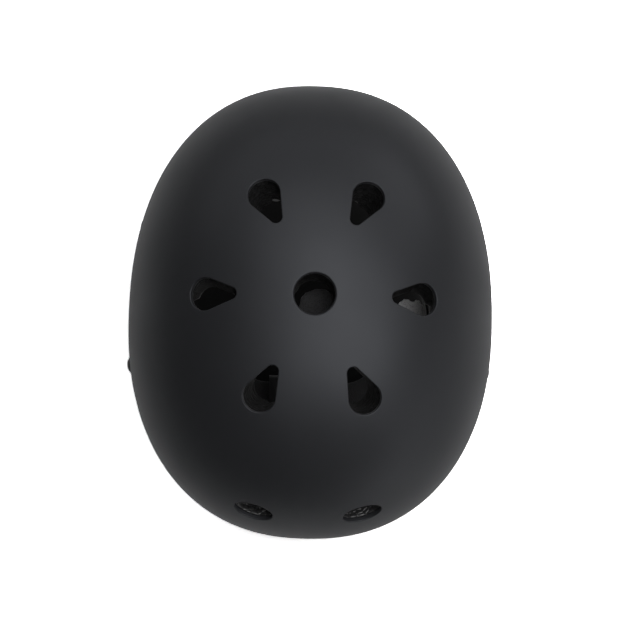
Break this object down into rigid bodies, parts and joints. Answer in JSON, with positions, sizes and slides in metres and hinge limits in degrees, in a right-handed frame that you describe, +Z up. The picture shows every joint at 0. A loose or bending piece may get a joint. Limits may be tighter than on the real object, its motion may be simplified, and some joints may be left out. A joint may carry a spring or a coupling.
{
  "type": "skate helmet",
  "caption": "Hardshell skate helmet: vented ABS shell over a foam liner, comfort pads, riveted chin harness with side-release buckle and a rear fit dial.",
  "frame": {"origin": "middle of the head cavity at the level where the shell is widest, where the wearer's head holds the helmet", "axes": "+Z up through the crown vent, -Y towards the brow, +X towards the side of the buckle's plug"},
  "size_m": [0.2266, 0.2825, 0.2625],
  "materials": {
    "shell": "satin black moulded ABS",
    "foam": "black expanded polystyrene beads",
    "pad_fabric": "brushed knit over soft foam",
    "hook_tape": "hook tape",
    "rivet": "black painted",
    "washer": "plated",
    "webbing": "woven polyester webbing",
    "harness_plastic": "moulded acetal",
    "keeper_rubber": "matte",
    "buckle_plastic": "moulded acetal",
    "band_plastic": "moulded nylon",
    "dial_plastic": "moulded nylon",
    "knob_plastic": "moulded nylon"
  },
  "bodies": {
    "helmet": {"shell": "shell", "eps_liner": "foam", "front_pad": "pad_fabric", "crown_pad": "pad_fabric", "left_side_pad": "pad_fabric", "right_side_pad": "pad_fabric", "rear_pad": "pad_fabric", "left_temple_pad": "pad_fabric", "right_temple_pad": "pad_fabric", "pad_hooks": "hook_tape", "strap_rivets": "rivet", "rivet_washers": "washer", "left_front_strap": "webbing", "right_front_strap": "webbing", "left_rear_strap": "webbing", "right_rear_strap": "webbing", "left_chin_strap": "webbing", "right_chin_strap": "webbing", "strap_tail": "webbing", "left_divider": "harness_plastic", "right_divider": "harness_plastic", "buckle_socket": "buckle_plastic", "left_fit_band": "band_plastic", "right_fit_band": "band_plastic", "band_anchors": "band_plastic"},
    "left_flap": {"left_divider_flap": "harness_plastic"},
    "right_flap": {"right_divider_flap": "harness_plastic"},
    "plug": {"buckle_plug": "buckle_plastic", "buckle_prongs": "buckle_plastic"},
    "keeper": {"strap_keeper": "keeper_rubber"},
    "fit_dial": {"dial_housing": "dial_plastic", "nape_pad": "pad_fabric"},
    "knob": {"dial_knob": "knob_plastic"}
  },
  "joints": [
    {"name": "left_flap_hinge", "type": "hinge", "parent": "helmet", "child": "left_flap", "pos_m": [-0.08479, 0.00358, -0.11213], "axis": [-0.1014, -0.9703, 0.2196], "range_deg": [0, 80]},
    {"name": "right_flap_hinge", "type": "hinge", "parent": "helmet", "child": "right_flap", "pos_m": [0.08479, 0.00358, -0.11213], "axis": [-0.1014, 0.9703, -0.2196], "range_deg": [0, 80]},
    {"name": "buckle_release", "type": "slide", "parent": "helmet", "child": "plug", "axis": [1, 0, 0], "range_m": [0, 0.026], "deforming": ["buckle_prongs", "right_chin_strap"]},
    {"name": "keeper_slide", "type": "slide", "parent": "helmet", "child": "keeper", "axis": [0.4069, -0.2419, -0.8809], "range_m": [0, 0.012]},
    {"name": "fit_slide", "type": "slide", "parent": "helmet", "child": "fit_dial", "axis": [0, -1, 0], "range_m": [0, 0.01], "deforming": ["left_fit_band", "right_fit_band"]},
    {"name": "knob_turn", "type": "hinge", "parent": "fit_dial", "child": "knob", "pos_m": [0, 0.104, -0.076], "axis": [0, -1, 0], "range_deg": [0, 129]}
  ],
  "couplings": [
    {"joint": "knob_turn", "follows": "fit_slide", "rad_per_m": 222.22}
  ]
}
